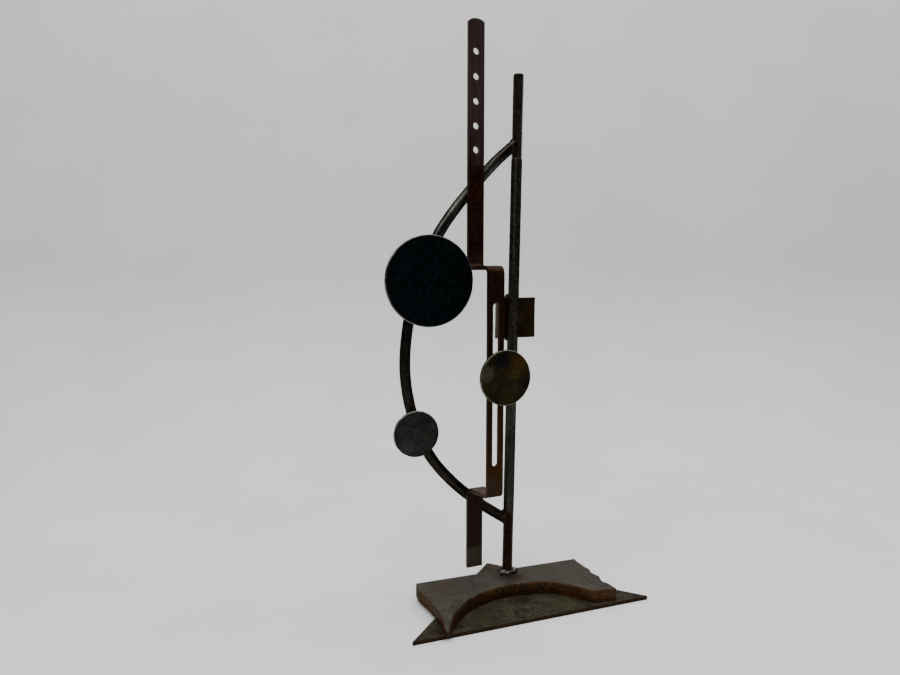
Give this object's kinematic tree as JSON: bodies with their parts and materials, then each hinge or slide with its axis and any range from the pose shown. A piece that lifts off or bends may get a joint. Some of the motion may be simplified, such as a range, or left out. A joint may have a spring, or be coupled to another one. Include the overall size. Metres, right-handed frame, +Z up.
{
  "type": "magnetic desk sculpture",
  "caption": "Abstract welded steel desk sculpture: plate foot, upright stud, bowed rod, joggled slotted bar and round discs held on by magnets that slide and turn.",
  "frame": {"origin": "point on the bottom face of the base plate under the foot of the stud", "axes": "+Z up, -Y towards the front where the discs face, +X along the base plate's front edge to the right as seen from the front"},
  "size_m": [0.2209, 0.1113, 0.4885],
  "materials": {
    "plate_steel": "dark mill scale with brown rust",
    "torch_cut_steel": "grey-brown mill scale, rusty torch-cut edges",
    "stud_steel": "grey-black shank, rusty thread at the foot",
    "rod_steel": "black-brown oxide, dull sheen",
    "rusted_bar": "dark reddish-brown rust",
    "tab_rust": "gold-brown rust",
    "black_disc": "blue-black oxide, satin",
    "mottled_disc": "mottled olive, orange and blue-black rust",
    "grey_disc": "dark grey bare steel",
    "ferrite": "matt dark grey ferrite",
    "plated_magnet": "bright nickel plate",
    "weld_bead": "rusty weld metal"
  },
  "bodies": {
    "frame": {"base_plate": "plate_steel", "arched_plate": "torch_cut_steel", "mast_stud": "stud_steel", "bow_rod": "rod_steel", "offset_bar": "rusted_bar", "back_tab": "tab_rust", "weld_stud_foot": "weld_bead", "weld_bow_top": "weld_bead", "weld_bow_bottom": "weld_bead", "weld_bar_upper": "weld_bead", "weld_bar_lower": "weld_bead", "weld_tab_upper": "weld_bead", "weld_tab_lower": "weld_bead", "weld_base_left": "weld_bead", "weld_base_right": "weld_bead", "weld_base_back": "weld_bead"},
    "large_magnet_carrier": {"large_magnet": "ferrite"},
    "large_disc_body": {"large_disc": "black_disc"},
    "medium_magnet_carrier": {"medium_magnet": "plated_magnet"},
    "medium_disc_body": {"medium_disc": "mottled_disc"},
    "small_magnet_carrier": {"small_magnet": "plated_magnet"},
    "small_disc_body": {"small_disc": "grey_disc"}
  },
  "joints": [
    {"name": "large_magnet_travel", "type": "hinge", "parent": "frame", "child": "large_magnet_carrier", "pos_m": [0.0878, -0.0097, 0.2161], "axis": [0, 1, 0], "range_deg": [-12, 0]},
    {"name": "large_disc_spin", "type": "hinge", "parent": "large_magnet_carrier", "child": "large_disc_body", "pos_m": [-0.0783, -0.0163, 0.2774], "axis": [0, -1, 0], "continuous": true},
    {"name": "medium_magnet_slide", "type": "slide", "parent": "frame", "child": "medium_magnet_carrier", "axis": [0, 0, 1], "range_m": [-0.085, 0.07]},
    {"name": "medium_disc_spin", "type": "hinge", "parent": "medium_magnet_carrier", "child": "medium_disc_body", "pos_m": [-0.02742, -0.05309, 0.2014], "axis": [0.0698, -0.9976, 0], "continuous": true},
    {"name": "small_magnet_travel", "type": "hinge", "parent": "frame", "child": "small_magnet_carrier", "pos_m": [0.0878, -0.0075, 0.2161], "axis": [0, 1, 0], "range_deg": [-11, 10]},
    {"name": "small_disc_spin", "type": "hinge", "parent": "small_magnet_carrier", "child": "small_disc_body", "pos_m": [-0.0889, -0.0119, 0.1514], "axis": [0, -1, 0], "continuous": true}
  ]
}
